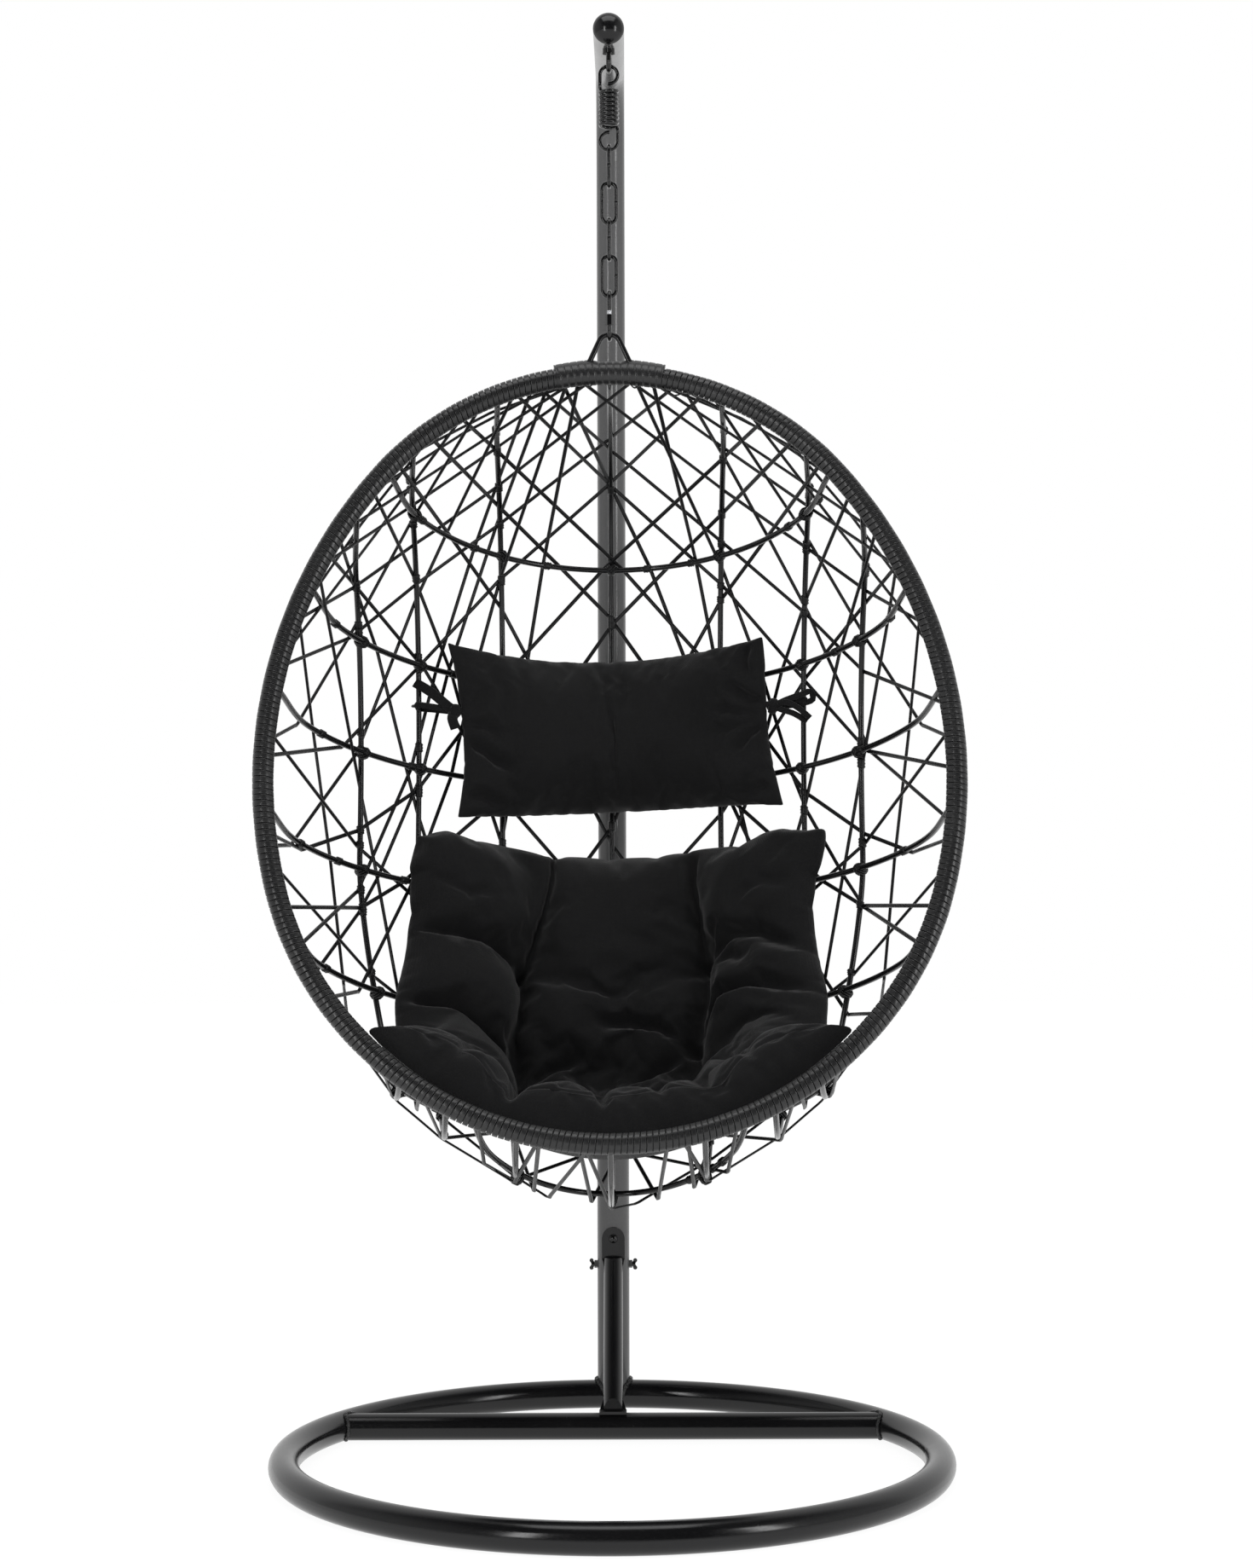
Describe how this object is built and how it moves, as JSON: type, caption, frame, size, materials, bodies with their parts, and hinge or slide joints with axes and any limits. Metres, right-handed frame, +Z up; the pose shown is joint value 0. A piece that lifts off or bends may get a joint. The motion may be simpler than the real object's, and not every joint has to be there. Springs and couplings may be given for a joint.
{
  "type": "hanging egg chair",
  "caption": "Hanging egg chair: a steel ring stand with a bent mast, a spring and chain, and a woven basket seat with a seat cushion and a head pillow.",
  "frame": {"origin": "on the floor at the centre of the base ring", "axes": "+Z up, -Y out of the mouth of the basket towards the front, +X to the right as seen from the front"},
  "size_m": [0.9554, 0.9424, 2.0008],
  "materials": {
    "steel": "gloss black powder coat",
    "hardware": "gloss black",
    "zinc": "bright zinc with black dip on the lower part",
    "cane": "semi-gloss black resin cane",
    "cushion": "black woven polyester"
  },
  "bodies": {
    "stand": {"base_ring": "steel", "cross_tube": "steel", "lower_post": "steel", "brace_tube": "steel", "brace_bolt": "hardware", "brace_nut": "hardware", "mast": "steel", "mast_cap": "steel", "eye_bolt": "hardware", "eye_nut": "hardware", "left_clamp_nut": "steel", "right_clamp_nut": "steel"},
    "left_wing_screw": {"left_wing_screw": "hardware"},
    "right_wing_screw": {"right_wing_screw": "hardware"},
    "spring": {"spring_top_hook": "hardware", "spring_coil": "hardware"},
    "spring_end": {"spring_bottom_hook": "hardware"},
    "link_1": {"chain_link_1": "hardware"},
    "link_2": {"chain_link_2": "hardware"},
    "link_3": {"chain_link_3": "hardware"},
    "link_4": {"chain_link_4": "hardware"},
    "quick_link": {"quick_link": "zinc"},
    "quick_link_nut": {"quick_link_nut": "hardware"},
    "basket": {"bail": "steel", "rim_tube": "steel", "rim_wrap": "cane", "saddle_wrap": "cane", "rib_centre": "steel", "left_inner_rib": "steel", "left_middle_rib": "steel", "left_outer_rib": "steel", "right_inner_rib": "steel", "right_middle_rib": "steel", "right_outer_rib": "steel", "hoop_1": "steel", "hoop_2": "steel", "hoop_3": "steel", "hoop_4": "steel", "hoop_5": "steel", "hoop_6": "steel", "hoop_7": "steel", "cane_rising_right": "cane", "cane_rising_left": "cane", "cane_left_side": "cane", "cane_right_side": "cane", "cane_steep": "cane", "seat_cushion": "cushion", "head_pillow": "cushion", "left_pillow_tie": "cushion", "right_pillow_tie": "cushion"}
  },
  "joints": [
    {"name": "eye_swing_sideways", "type": "hinge", "parent": "stand", "child": "spring", "pos_m": [0, 0, 1.90636], "axis": [0, 1, 0], "range_deg": [-15, 15]},
    {"name": "spring_stretch", "type": "slide", "parent": "spring", "child": "spring_end", "axis": [0, 0, -1], "range_m": [0, 0.02], "stiffness_N_per_m": 50000, "springref_m": -0.0039, "deforming": ["spring_coil"]},
    {"name": "hook_swing_front_back", "type": "hinge", "parent": "spring_end", "child": "link_1", "pos_m": [0, 0, 1.79881], "axis": [1, 0, 0], "range_deg": [-20, 2]},
    {"name": "link_swing_sideways", "type": "hinge", "parent": "link_1", "child": "link_2", "pos_m": [0, 0, 1.74886], "axis": [0, 1, 0], "range_deg": [-15, 15]},
    {"name": "link_swing_front_back", "type": "hinge", "parent": "link_2", "child": "link_3", "pos_m": [0, 0, 1.69916], "axis": [1, 0, 0], "range_deg": [-20, 2]},
    {"name": "chain_twist", "type": "hinge", "parent": "link_3", "child": "link_4", "pos_m": [0, 0, 1.65526], "axis": [0, 0, 1], "range_deg": [-18, 18]},
    {"name": "quick_link_sway", "type": "hinge", "parent": "link_4", "child": "quick_link", "pos_m": [0, 0, 1.60581], "axis": [0, 1, 0], "range_deg": [-10, 10]},
    {"name": "quick_link_nut_turn", "type": "hinge", "parent": "quick_link", "child": "quick_link_nut", "pos_m": [0, -0.0105, 1.57356], "axis": [0, 0, 1], "continuous": true},
    {"name": "basket_tip", "type": "hinge", "parent": "quick_link", "child": "basket", "pos_m": [0, 0, 1.54836], "axis": [1, 0, 0], "range_deg": [-20, 1]},
    {"name": "left_wing_screw_turn", "type": "hinge", "parent": "stand", "child": "left_wing_screw", "pos_m": [-0.03, 0.444, 0.216], "axis": [1, 0, 0], "continuous": true},
    {"name": "right_wing_screw_turn", "type": "hinge", "parent": "stand", "child": "right_wing_screw", "pos_m": [0.03, 0.444, 0.216], "axis": [1, 0, 0], "continuous": true}
  ]
}
